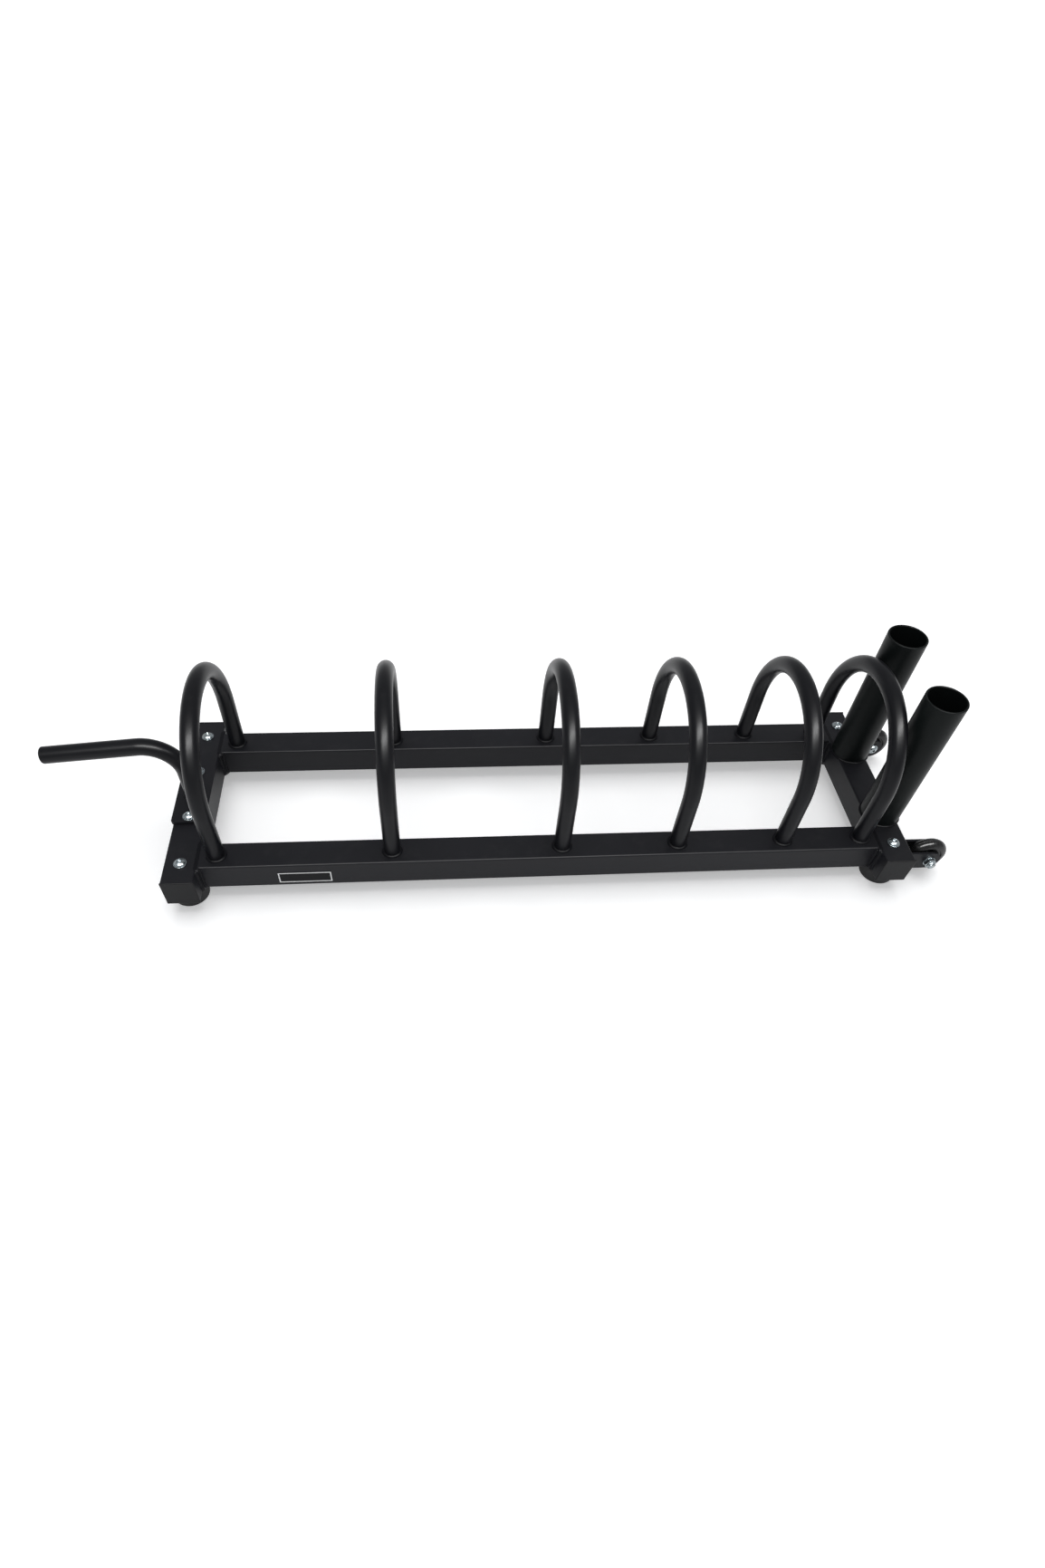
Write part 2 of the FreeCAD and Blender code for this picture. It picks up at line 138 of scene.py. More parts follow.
def grid_surface(points, loop=False):
    """Closed surface from a grid of rows and columns: quads join neighbours, the columns close on
    themselves, and the rows either close too (loop) or end in a fan round the mean of the first and last
    row."""
    rows, columns = points.shape[:2]
    number = np.arange(rows * columns).reshape(rows, columns)
    ahead = np.roll(number, -1, axis=1)
    first, second = (number, np.roll(number, -1, axis=0)) if loop else (number[:-1], number[1:])
    ahead_first, ahead_second = (ahead, np.roll(ahead, -1, axis=0)) if loop else (ahead[:-1], ahead[1:])
    quads = np.stack([first, ahead_first, ahead_second, second], axis=-1).reshape(-1, 4).tolist()
    flat = points.reshape(-1, 3)
    if not loop:
        ends = np.stack([points[0].mean(0), points[-1].mean(0)])
        flat = np.concatenate([flat, ends])
        start, stop = rows * columns, rows * columns + 1
        quads += [[start, b, a] for a, b in zip(number[0], ahead[0])]
        quads += [[stop, a, b] for a, b in zip(number[-1], ahead[-1])]
    return outward(flat, quads)


def unit(vectors):
    """Each vector divided by its length."""
    return vectors / np.linalg.norm(vectors, axis=-1, keepdims=True)


def swept(path, across, up, profile, loop=False):
    """Profile carried along a path: path point + profile's first number times across + second times up.
    Across and up are each one direction, or one for every point of the path."""
    across, up = [np.broadcast_to(np.array(way, float), path.shape) for way in (across, up)]
    points = path[:, None, :] + profile[..., :1] * across[:, None, :] + profile[..., 1:] * up[:, None, :]
    return grid_surface(points, loop=loop)


def angles(steps):
    """Evenly spaced angles once round a circle, as a row."""
    return np.linspace(0, 2 * math.pi, steps, endpoint=False)[None, :]


def turned(rows, centre, axis, steps, loop=False):
    """Surface of revolution about an axis through a centre. Every row has a radius and a height, each of
    them one number or a number for every angle."""
    axis = unit(np.array(axis, float))
    side = unit(np.cross(axis, X if abs(axis[0]) < 0.5 else Y))
    other = np.cross(axis, side)
    angle = angles(steps)
    grids = [[np.reshape(row[k] + 0 * angle, (1, -1)) for row in rows] for k in (0, 1)]
    radii, heights = [np.concatenate(grid) for grid in grids]
    ring = np.cos(angle)[..., None] * side + np.sin(angle)[..., None] * other
    return grid_surface(np.array(centre) + radii[..., None] * ring + heights[..., None] * axis, loop=loop)


def softened(corners, reach, steps=5, loop=False):
    """Profile whose corners are eased: each corner B gives way to the curve (1-t)^2 A + 2t(1-t) B + t^2
    C, where A and C lie a short reach from B along its two sides."""
    corners = np.array(corners, float)
    before, after = np.roll(corners, 1, axis=0), np.roll(corners, -1, axis=0)
    reach = np.broadcast_to(np.array(reach, float), (len(corners),))[:, None]
    back, ahead = before - corners, after - corners
    a = corners + back * np.minimum(reach / np.linalg.norm(back, axis=1, keepdims=True), 0.49)
    c = corners + ahead * np.minimum(reach / np.linalg.norm(ahead, axis=1, keepdims=True), 0.49)
    t = np.linspace(0, 1, steps)[None, :, None]
    curve = (1 - t) ** 2 * a[:, None] + 2 * t * (1 - t) * corners[:, None] + t ** 2 * c[:, None]
    if not loop:
        curve[0], curve[-1] = corners[0], corners[-1]
    points = curve.reshape(-1, 2)
    keep = np.concatenate([[True], np.linalg.norm(np.diff(points, axis=0), axis=1) > 1e-7])
    return points[keep]


def piece(name, parts, material, body="frame", smooth=35.0):
    """Object made of closed surfaces, with edges sharper than an angle left crisp, riding on a body."""
    points, faces = joined(parts)
    mesh = bpy.data.meshes.new(name)
    mesh.from_pydata(points.tolist(), [], faces)
    mesh.shade_smooth()
    mesh.set_sharp_from_angle(angle=math.radians(smooth))
    mesh.materials.append(material)
    thing = bpy.data.objects.new(name, mesh)
    bpy.context.scene.collection.objects.link(thing)
    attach(thing, body)
    return thing


# ---------------------------------------------------------------- shader graphs

class Wire:
    """A socket of a shader graph, with arithmetic that adds Math nodes."""

    def __init__(self, graph, socket):
        self.graph = graph
        self.socket = socket

    def math(self, operation, other, reflected=False):
        """Math node on this value and another, which comes first when reflected."""
        values = (other, self) if reflected else (self, other)
        return self.graph.add("ShaderNodeMath", {"operation": operation}, {0: values[0], 1: values[1]})

    def __add__(self, other):
        return self.math("ADD", other)

    def __sub__(self, other):
        return self.math("SUBTRACT", other)

    def __mul__(self, other):
        return self.math("MULTIPLY", other)

    def __radd__(self, other):
        return self.math("ADD", other, True)

    def __rsub__(self, other):
        return self.math("SUBTRACT", other, True)

    def __rmul__(self, other):
        return self.math("MULTIPLY", other, True)

    def __gt__(self, other):
        return self.math("GREATER_THAN", other)

    def __lt__(self, other):
        return self.math("LESS_THAN", other)


class Graph:
    """Node graph of one material."""

    def __init__(self, name, **constants):
        self.material = bpy.data.materials.new(name)
        self.material.use_nodes = True
        self.nodes = self.material.node_tree.nodes
        self.links = self.material.node_tree.links
        self.shader = self.nodes["Principled BSDF"]
        for socket, value in constants.items():
            self.shader.inputs[socket.replace("_", " ")].default_value = value
        self.place = Wire(self, self.nodes.new("ShaderNodeTexCoord").outputs["Object"])

    def add(self, kind, settings=None, inputs=None, output=0):
        """Any node: its settings first, then a value or link for each socket. Returns one of its
        outputs."""
        node = self.nodes.new(kind)
        for key, value in (settings or {}).items():
            if key == "stops":
                for element, (position, grey) in zip(self.stops(node, len(value)), value):
                    element.position = position
                    element.color = (grey, grey, grey, 1.0)
            else:
                setattr(node, key, value)
        for key, value in (inputs or {}).items():
            if isinstance(value, Wire):
                self.links.new(value.socket, node.inputs[key])
            else:
                node.inputs[key].default_value = value
        return Wire(self, node.outputs[output])

    def stops(self, node, count):
        """A ramp's stops, as many as are wanted."""
        elements = node.color_ramp.elements
        while len(elements) < count:
            elements.new(0.5)
        return elements

    def noise(self, scale, detail=3.0, roughness=0.55, where=None):
        """Soft noise of a scale per metre."""
        return self.add("ShaderNodeTexNoise", {}, {
            "Vector": where or self.place, "Scale": scale, "Detail": detail, "Roughness": roughness,
        })

    def stretched(self, factors):
        """The place on the piece, scaled along each axis."""
        return self.add("ShaderNodeMapping", {}, {"Vector": self.place, "Scale": factors})

    def ramp(self, value, *stops):
        """Value passed through a ramp of grey stops."""
        return self.add("ShaderNodeValToRGB", {"stops": stops}, {"Fac": value})

    def blend(self, amount, first, second):
        """Mix of two colours by an amount."""
        return self.add("ShaderNodeMix", {"data_type": "RGBA"}, {0: amount, 6: first, 7: second}, 2)

    def split(self, vector):
        """The three numbers of a vector."""
        return [self.add("ShaderNodeSeparateXYZ", {}, {0: vector}, axis) for axis in range(3)]

    def bump(self, height, distance, strength=1.0, over=None):
        """Normal bent by a height in metres times a distance."""
        inputs = {"Height": height, "Distance": distance, "Strength": strength}
        if over is not None:
            inputs["Normal"] = over
        return self.add("ShaderNodeBump", {}, inputs)

    def feed(self, **sockets):
        """Links values to the shader's sockets."""
        for socket, value in sockets.items():
            self.links.new(value.socket, self.shader.inputs[socket.replace("_", " ")])
        return self.material


def shade(colour, factor=1.0):
    """A colour with full alpha, made lighter or darker."""
    return (colour[0] * factor, colour[1] * factor, colour[2] * factor, 1.0)


def facing(graph):
    """How far the true surface faces up, from -1 to 1."""
    return graph.split(graph.add("ShaderNodeNewGeometry", {}, {}, "Normal"))[2]


def powder_coat(name, finish, colour, shine, gloss=0.0):
    """Satin powder coat: broad tone changes, an orange peel about 2 mm across, a fine grain, and a
    little dust that lies only where the surface faces up."""
    graph = Graph(name, Specular_IOR_Level=shine, IOR=1.5)
    broad = graph.noise(9.0, 4.0)
    peel = graph.noise(520.0, 2.0, 0.45)
    grain = graph.noise(2600.0, 2.0, 0.6)
    dust = graph.ramp(graph.noise(46.0, 6.0, 0.62), (0.5, 0.0), (0.78, 1.0))
    settled = dust * graph.ramp(facing(graph), (0.7, 0.0), (0.98, 1.0)) * 0.02
    tone = graph.blend(broad, shade(colour, 0.86), shade(colour, 1.14))
    flecks = graph.ramp(graph.noise(3400.0, 1.0), (0.62, 0.0), (0.74, 1.0)) * 0.10
    tone = graph.blend(flecks, tone, shade(colour, 3.0))
    tone = graph.blend(settled, tone, shade(finish.dust_colour))
    rough = finish.coat_roughness - gloss + (broad - 0.5) * 0.08 + (grain - 0.5) * 0.12 + settled * 0.5
    normal = graph.bump(grain, 0.00003, 0.5, over=graph.bump(peel, 0.00012, 0.55))
    return graph.feed(Base_Color=tone, Roughness=rough, Normal=normal)


def zinc_plate(name, finish):
    """Bright zinc: cloudy bluish and warm tints, fine scuffs and a faint peel."""
    graph = Graph(name, Metallic=1.0)
    cloud = graph.noise(210.0, 4.0, 0.6)
    scuff = graph.noise(1500.0, 6.0, 0.75)
    tone = graph.blend(cloud, shade(finish.zinc_colour, 0.80), shade(finish.zinc_colour, 1.12))
    warm = graph.ramp(graph.noise(130.0, 2.0), (0.52, 0.0), (0.70, 1.0)) * 0.25
    tone = graph.blend(warm, tone, (0.34, 0.32, 0.25, 1.0))
    rough = 0.14 + cloud * 0.10 + scuff * 0.14
    normal = graph.bump(scuff, 0.00003, 0.6)
    return graph.feed(Base_Color=tone, Roughness=rough, Normal=normal)


def moulded(name, colour, roughness, grain_size, depth, shine=0.5):
    """Moulded plastic or rubber: tone changes, a leathery cell grain and finer noise over it."""
    graph = Graph(name, Specular_IOR_Level=shine)
    broad = graph.noise(24.0, 4.0)
    cells = graph.add("ShaderNodeTexVoronoi", {"feature": "SMOOTH_F1"}, {
        "Vector": graph.place, "Scale": grain_size, "Smoothness": 0.7,
    }, "Distance")
    fine = graph.noise(grain_size * 1.7, 3.0, 0.6)
    tone = graph.blend(broad, shade(colour, 0.78), shade(colour, 1.25))
    tone = graph.blend(graph.ramp(fine, (0.55, 0.0), (0.80, 1.0)) * 0.2, tone, shade(colour, 2.2))
    rough = roughness + (broad - 0.5) * 0.10 + (fine - 0.5) * 0.14
    normal = graph.bump(cells, depth, 0.5, over=graph.bump(fine, depth * 0.5, 0.5))
    return graph.feed(Base_Color=tone, Roughness=rough, Normal=normal)


def worn_tread(name, finish):
    """Wheel tyre: smooth rubber with fine lines round the axle, and scuffs with a little dust in them."""
    graph = Graph(name, Specular_IOR_Level=0.3)
    lines = graph.noise(1.0, 2.0, 0.5, graph.stretched((60.0, 1900.0, 60.0)))
    scuff = graph.ramp(graph.noise(160.0, 6.0, 0.7), (0.48, 0.0), (0.72, 1.0))
    tone = graph.blend(scuff * 0.10, shade(finish.tyre_colour), shade(finish.dust_colour, 0.35))
    rough = 0.24 + scuff * 0.18 + (lines - 0.5) * 0.08
    normal = graph.bump(lines, 0.00003, 0.5, over=graph.bump(scuff, 0.00003, 0.4))
    return graph.feed(Base_Color=tone, Roughness=rough, Normal=normal)


def badge_film(name, finish):
    """Blank film: black, with a pale border line where the distance to the nearest edge is between a gap
    and the gap plus the line's width."""
    graph = Graph(name, Specular_IOR_Level=0.08, Coat_Weight=0.03, Coat_Roughness=0.2)
    place, half, centre = graph.split(graph.place), half_size("badge"), middle("badge")
    inset = [half[axis] - (place[axis] - centre[axis]).math("ABSOLUTE", 0.0) for axis in (0, 2)]
    edge = inset[0].math("MINIMUM", inset[1])
    line = (edge > finish.border_gap) * (edge < finish.border_gap + finish.border_width)
    print_wear = graph.ramp(graph.noise(900.0, 4.0, 0.6), (0.30, 0.72), (0.62, 1.0))
    film = graph.noise(120.0, 3.0)
    tone = graph.blend(film, shade(finish.coat_colour, 0.30), shade(finish.coat_colour, 0.50))
    tone = graph.blend(line * print_wear, tone, shade(finish.border_colour))
    return graph.feed(Base_Color=tone, Roughness=0.34 + film * 0.12, Normal=graph.bump(film, 0.00002, 0.4))


MATERIALS = {}


def finish_of(key):
    """A finish that the finishes operator has made."""
    if key not in MATERIALS:
        raise RuntimeError(f"the finish {key} isn't made yet; run rack.finishes first")
    return MATERIALS[key]


# ---------------------------------------------------------------- weld beads

RIPPLE_STEPS = 7                            # rows of points to a ripple
SEAM_DEPTH, SEAM_CROWN = 0.0008, 0.0003
GROUND_SECTION = (0.0062, 0.0032, 0.00018)  # width, depth and crown of the welds that are ground flush
GROUND_OFFSET, GROUND_INSET = 0.0010, 0.0022


def bead_profile(along, leg, welds, closed=False):
    """Cross-sections of a fillet weld in a corner. Between its two toes the face is a straight chord
    swollen by a bulge. Each ripple steps up quickly and falls away slowly, and its crest lags in the
    middle of the face, which gives crescents. Three hidden points lie behind the corner. Open beads are
    rounded off at both ends."""
    turn = np.linspace(0, math.pi / 2, 9)[None, :]
    lag = 0.32 * np.sin(2 * turn)
    wave = (along[:, None] / welds.ripple_pitch + lag) % 1.0
    wander = 0.05 * np.sin(along[:, None] * 410.0 + leg * 9000.0) + 0.04 * np.sin(along[:, None] * 173.0)
    step = welds.ripple_depth * ((1 - wave) ** 1.5 - 0.4) * np.sin(2 * turn)
    reach = leg * (1 + wander) * (1 + welds.bulge * np.sin(2 * turn)) / (np.cos(turn) + np.sin(turn)) + step
    if not closed:
        near_end = np.minimum(along, along[-1] - along)[:, None] / leg
        reach = reach * np.sqrt(np.clip(1 - (1 - np.clip(near_end, 0, 1)) ** 2, 0.02, 1))
    face = np.stack([reach * np.cos(turn), reach * np.sin(turn)], axis=-1)
    behind = -welds.root
    hidden = np.stack([
        np.stack([np.full(len(along), behind), face[:, -1, 1]], axis=-1),
        np.full((len(along), 2), behind),
        np.stack([face[:, 0, 0], np.full(len(along), behind)], axis=-1),
    ], axis=1)
    return np.concatenate([face, hidden], axis=1)


def ring_bead(centre, radius, leg, welds):
    """Fillet weld round an upright tube's foot: its corner runs in a circle, with one toe outwards and
    one up."""
    length = 2 * math.pi * radius
    ripple_count = max(6, round(length / welds.ripple_pitch))
    count = ripple_count * RIPPLE_STEPS
    along = np.arange(count) * length / count
    angle = along / radius
    out = np.stack([np.cos(angle), np.sin(angle), 0 * angle], axis=-1)
    profile = bead_profile(along * (ripple_count * welds.ripple_pitch / length), leg, welds, closed=True)
    return swept(np.array(centre) + radius * out, out, Z, profile, loop=True)


def straight_bead(start, end, first, second, leg, welds):
    """Fillet weld along a straight corner between two faces, with toes along the two given directions."""
    start, end = np.array(start, float), np.array(end, float)
    length = np.linalg.norm(end - start)
    count = max(12, int(length / welds.ripple_pitch * RIPPLE_STEPS))
    along = np.linspace(0, length, count)
    path = start + (end - start) * (along / length)[:, None]
    return swept(path, first, second, bead_profile(along, leg, welds))


def ground_strip(start, end, across, inwards, width, depth, crown):
    """Weld that has been ground flush: a strip whose top is a very low arch, sunk into the groove under
    it, and whose ends are rounded."""
    start, end = np.array(start, float), np.array(end, float)
    length = np.linalg.norm(end - start)
    along = np.linspace(0, 1, 48)
    path = start + (end - start) * along[:, None]
    turn = np.linspace(0, math.pi, 11)[None, :]
    near_end = np.clip(np.minimum(along, 1 - along) * length / (width * 0.6), 0, 1)[:, None]
    ease = np.sqrt(np.clip(1 - (1 - near_end) ** 2, 0.02, 1))
    wave = 1 + 0.08 * np.sin(along[:, None] * 37.0) + 0.06 * np.sin(along[:, None] * 83.0)
    top = np.stack([-np.cos(turn) * width / 2 * wave * ease, -np.sin(turn) * crown * ease], axis=-1)
    bottom = np.stack([
        np.stack([width * 0.35 * ease[:, 0], depth * ease[:, 0]], axis=-1),
        np.stack([-width * 0.35 * ease[:, 0], depth * ease[:, 0]], axis=-1),
    ], axis=1)
    profile = np.concatenate([top, bottom], axis=1)
    return swept(path, across, inwards, profile)


# ---------------------------------------------------------------- fasteners

def hexagon(angle, width):
    """Distance from a hexagon's middle to its rim at an angle: half the width over the cosine of how far
    the angle is from the middle of the nearest flat."""
    return width / 2 / np.cos((angle + math.pi / 6) % (math.pi / 3) - math.pi / 6)


def button_bolt(seat, along, length, sizes):
    """One closed surface from the socket's floor over the dome, under the head and down to the tip. The
    dome is an arc over a short upright land. The thread takes away a triangle wave of the height less
    the angle's share of a turn."""
    steps = 48
    wall = hexagon(angles(steps), sizes.socket_width)
    mouth = sizes.socket_width / math.sqrt(3) * 1.05
    head, shank, crown = sizes.head_radius, sizes.shank_radius, sizes.head_height
    land, floor = 0.0008, sizes.socket_depth - crown
    rise = crown - land
    ball = (head ** 2 + rise ** 2) / (2 * rise)

    def dome(radius):
        return ball - crown - np.sqrt(ball ** 2 - radius ** 2)

    rows = [(wall * 0.3, floor + 0.0007), (wall * 0.95, floor), (wall, floor - 0.0002)]
    rows += [(wall, dome(mouth) + 0.0006), (mouth, dome(mouth) + 0.00005)]
    rows += [(radius, dome(radius)) for radius in np.linspace(mouth + 0.0003, head - 0.0004, 10)]
    rows += [(head - 0.0001, -land), (head, -land + 0.0002), (head, -0.0003), (head - 0.0003, 0.0)]
    rows += [(shank + 0.0007, 0.0), (shank + 0.0002, 0.0002), (shank, 0.0007)]
    begin = length - sizes.threaded
    heights = np.linspace(begin, length, round(sizes.threaded / sizes.pitch * 6))[:, None]
    turn = (heights / sizes.pitch - angles(steps) / (2 * math.pi)) % 1.0
    run_in = np.clip((heights - begin) / sizes.pitch, 0, 1)
    groove = np.clip((np.abs(2 * turn - 1) - 0.12) / 0.76, 0, 1) * run_in
    chamfered = shank - np.clip(heights - (length - 0.001), 0, None)
    radii = np.minimum(shank - sizes.thread_depth * groove, chamfered)
    rows += list(zip(radii, heights[:, 0]))
    return turned(rows, seat, along, steps)


def hexagon_nut(seat, along, height, sizes, collar=0.0):
    """Ring whose rim is a hexagon, with both faces' corners cut back by a 30 degree cone beyond a round
    flat. A lock nut has a round collar on its far face, curled in over its insert."""
    steps = 96
    rim = hexagon(angles(steps), sizes.nut_width)
    flat = sizes.nut_width / 2 * 0.95
    bore = sizes.shank_radius + 0.0001
    lead = bore + 0.0006
    top = height - collar

    def drop(radius):
        return np.clip(radius - flat, 0, None) * math.tan(math.radians(30))

    rows = [(lead, 0.0), (bore, 0.0006), (bore, top - 0.0008)]
    start = lead
    if collar:
        inner, outer = sizes.shank_radius + 0.0013, flat * 0.90
        rows += [(inner, top - 0.0006), (inner, height - 0.0012), (inner - 0.0005, height - 0.0006)]
        rows += [(inner - 0.0003, height - 0.0002), (inner + 0.0002, height)]
        rows += [(outer - 0.0016, height - 0.0001), (outer - 0.0007, height - 0.0005)]
        rows += [(outer - 0.0002, height - 0.0012), (outer, height - 0.0020)]
        rows += [(outer, top + 0.0003), (outer + 0.0003, top)]
        start = outer + 0.0003
    else:
        rows.append((lead, height))
    shares = (0.45, 0.8, 0.92)
    rows += [(start + (rim - start) * s, top - drop(start + (rim - start) * s)) for s in shares]
    rows += [(rim - 0.0002, top - drop(rim) + 0.00005), (rim, top - drop(rim) - 0.0003),
             (rim, drop(rim) + 0.0003), (rim - 0.0002, drop(rim) - 0.00005)]
    rows += [(lead + (rim - lead) * s, drop(lead + (rim - lead) * s)) for s in reversed(shares)]
    return turned(rows, seat, along, steps, loop=True)


def plain_ring(seat, along, inner, outer, thickness, ease):
    """Flat ring with eased edges, standing on a face."""
    profile = softened([(inner, 0), (outer, 0), (outer, thickness), (inner, thickness)], ease, 5, loop=True)
    return turned(profile, seat, along, 72, loop=True)


def washer(seat, along, sizes):
    """Plain washer standing on a face."""
    hole = sizes.shank_radius + 0.00025
    return plain_ring(seat, along, hole, sizes.washer_radius, sizes.washer_thickness, 0.0005)


# ---------------------------------------------------------------- wheels

TYRE_SLACK = 0.00001    # keeps the round tyre inside the box of the one that it replaces
BORE_CLEARANCE = 0.00006
HUB_RIM, HUB_BOSS, HUB_WEB, HUB_RIM_HALF = 0.0035, 0.011, 0.0030, 0.009
RIB_START, RIB_INSET, RIB_HALF_HEIGHT = 0.0104, 0.0028, 0.0068


def tyre_profile(radius, half, inner, parting_line):
    """Half circle of tread whose radius is half the tyre's width, stepped in on both sidewalls, with a
    parting line raised at the middle, closed by the bead inside it."""
    turn = np.linspace(-math.pi / 2, math.pi / 2, 121)
    sidewall = 1 / (1 + np.exp((52 - np.abs(np.degrees(turn))) / 1.2))
    line = np.exp(-(np.degrees(turn) / 1.4) ** 2)
    reach = half * (1 - 0.03 * sidewall) - parting_line * (1 - line)
    radii = radius - half + reach * np.cos(turn)
    heights = reach * np.sin(turn)
    bead = np.array([(inner, half * 0.86), (inner, half * 0.3), (inner, -half * 0.3), (inner, -half * 0.86)])
    return np.concatenate([np.stack([radii, heights], axis=-1), bead])


def hub_profile(outer, boss_half, bore):
    """Half of a dished hub's outline, from the bore round the boss, over the web and up the rim,
    mirrored to close."""
    step = outer - HUB_RIM
    corners = [(bore, boss_half), (HUB_BOSS, boss_half), (HUB_BOSS + 0.0012, HUB_WEB)]
    corners += [(step - 0.0010, HUB_WEB), (step, HUB_RIM_HALF), (outer, HUB_RIM_HALF)]
    outline = corners + [(radius, -height) for radius, height in reversed(corners)]
    reach = [0.0006, 0.0016, 0.0030, 0.0030, 0.0010, 0.0006]
    return softened(outline, reach + reach[::-1], 7, loop=True)


def hub_ribs(centre, count, far, half):
    """Ribs across both faces of a hub's web: each a bar from the boss to the rim, through the web. Its
    section is an ellipse made squarer by taking the root of its sine and cosine, each with its own sign."""
    ribs = []
    turn = np.linspace(0, 2 * math.pi, 16, endpoint=False)
    sides, faces = [np.sign(wave) * np.abs(wave) ** 0.5 for wave in (np.cos(turn), np.sin(turn))]
    profile = np.stack([sides * half, faces * RIB_HALF_HEIGHT], axis=-1)
    for number in range(count):
        angle = 2 * math.pi * (number + 0.5) / count
        out = np.array([math.cos(angle), 0.0, math.sin(angle)])
        path = np.array(centre) + np.linspace(RIB_START, far, 6)[:, None] * out
        ribs.append(swept(path, np.cross(out, Y), Y, profile[None]))
    return ribs


# ---------------------------------------------------------------- settings

def colour_setting(name, description, default):
    """Setting for a colour."""
    return bpy.props.FloatVectorProperty(
        name=name, description=description, default=default, subtype="COLOR", min=0.0, max=1.0)


def length_setting(name, description, default, least, most):
    """Setting for a length in metres."""
    return bpy.props.FloatProperty(
        name=name, description=description, default=default, unit="LENGTH", min=least, max=most)


def number_setting(name, description, default, least, most):
    """Setting for a plain number."""
    return bpy.props.FloatProperty(name=name, description=description, default=default, min=least, max=most)


class RackFinish(bpy.types.PropertyGroup):
    """Colours and shine."""

    coat_colour: colour_setting(
        "Coat", "Powder coat on the rails and cross members", (0.0092, 0.0095, 0.0122))
    # Painted shade: a darker copy of the same powder coat colour. It makes the hoops, the handle and every
    # weld bead darker than their light alone makes them.
    hoop_shaded_colour: colour_setting(
        "Hoop coat", "Powder coat on the hoops and the handle", (0.0058, 0.0061, 0.0080))
    holder_colour: colour_setting("Holder coat", "Powder coat on the bar holders", (0.0046, 0.0063, 0.0064))
    coat_roughness: number_setting("Coat roughness", "How matt the powder coat is", 0.42, 0.0, 1.0)
    coat_shine: number_setting("Coat shine", "Strength of the powder coat's reflection", 0.15, 0.0, 1.0)
    tube_shine: number_setting(
        "Tube shine", "Strength of the reflection on hoops, handle and bar holders", 0.15, 0.0, 1.0)
    dust_colour: colour_setting("Dust", "Dust that has settled on the rack", (0.22, 0.21, 0.20))
    zinc_colour: colour_setting("Zinc", "Plated bolts, nuts and washers", (0.33, 0.37, 0.39))
    cap_colour: colour_setting("Caps", "Plastic caps and plug", (0.0056, 0.0060, 0.0070))
    foot_colour: colour_setting("Feet", "Rubber feet", (0.012, 0.012, 0.013))
    tyre_colour: colour_setting("Tyres", "Wheel tyres", (0.0055, 0.0056, 0.0062))
    hub_colour: colour_setting("Hubs", "Wheel hubs", (0.0042, 0.0044, 0.0052))
    nylon_colour: colour_setting("Nylon", "Insert of the lock nuts", (0.030, 0.031, 0.034))
    border_colour: colour_setting("Badge border", "Pale line round the badge", (0.80, 0.81, 0.81))
    border_gap: length_setting("Border gap", "Black margin outside the badge's line", 0.0006, 0.0, 0.01)
    border_width: length_setting("Border width", "Width of the badge's line", 0.0019, 0.0001, 0.01)


class RackWelds(bpy.types.PropertyGroup):
    """Sizes of the weld beads."""

    leg: length_setting("Leg", "Width of a bead along each face", 0.0030, 0.001, 0.01)
    plate_leg: length_setting(
        "Plate leg", "Width of the beads along the end plates and brackets", 0.0034, 0.001, 0.01)
    bulge: number_setting(
        "Bulge", "How far a bead's face stands out, as a share of its chord", 0.22, 0.0, 0.6)
    ripple_pitch: length_setting("Ripple pitch", "Distance between two ripples", 0.0023, 0.0005, 0.01)
    ripple_depth: length_setting("Ripple depth", "Height of a ripple", 0.00018, 0.0, 0.002)
    holder_wall: length_setting(
        "Holder wall", "Wall of the bar holders, inside which their seam stands", 0.003, 0.001, 0.01)
    seam_width: length_setting("Seam width", "Width of the seam inside a bar holder", 0.0042, 0.001, 0.01)
    root: length_setting("Root", "How far a bead reaches behind its corner", 0.0005, 0.0001, 0.003)


class RackFasteners(bpy.types.PropertyGroup):
    """Sizes of the threads, nuts and washers."""

    pitch: length_setting("Thread pitch", "Distance between two turns of the thread", 0.0015, 0.0005, 0.004)
    threaded: length_setting("Threaded length", "Length of thread at a bolt's tip", 0.0135, 0.002, 0.1)
    thread_depth: length_setting("Thread depth", "Depth of the thread's groove", 0.0008, 0.0, 0.002)
    head_radius: length_setting("Head radius", "Radius of a button head", 0.00875, 0.002, 0.02)
    head_height: length_setting("Head height", "Height of a button head", 0.0055, 0.001, 0.02)
    socket_width: length_setting("Socket width", "Hexagon socket, across its flats", 0.006, 0.001, 0.02)
    socket_depth: length_setting("Socket depth", "Depth of the hexagon socket", 0.0035, 0.001, 0.02)
    shank_radius: length_setting("Shank radius", "Radius of a bolt's shank", 0.005, 0.001, 0.02)
    nut_width: length_setting("Nut width", "Nut, across its flats", 0.017, 0.004, 0.04)
    collar: length_setting("Collar", "Height of a lock nut's collar", 0.0032, 0.001, 0.01)
    washer_radius: length_setting("Washer radius", "Outer radius of a washer", 0.010, 0.004, 0.04)
    washer_thickness: length_setting("Washer thickness", "Thickness of a washer", 0.002, 0.0005, 0.005)


class RackWheels(bpy.types.PropertyGroup):
    """Sizes of the tyres' and hubs' details."""

    parting_line: length_setting(
        "Parting line", "Height of the line round the middle of the tread", 0.00022, 0.0, 0.002)
    rib_count: bpy.props.IntProperty(
        name="Ribs", description="Ribs on a hub", default=8, min=3, max=24)
    rib_width: length_setting("Rib width", "Width of a rib", 0.0018, 0.0005, 0.01)


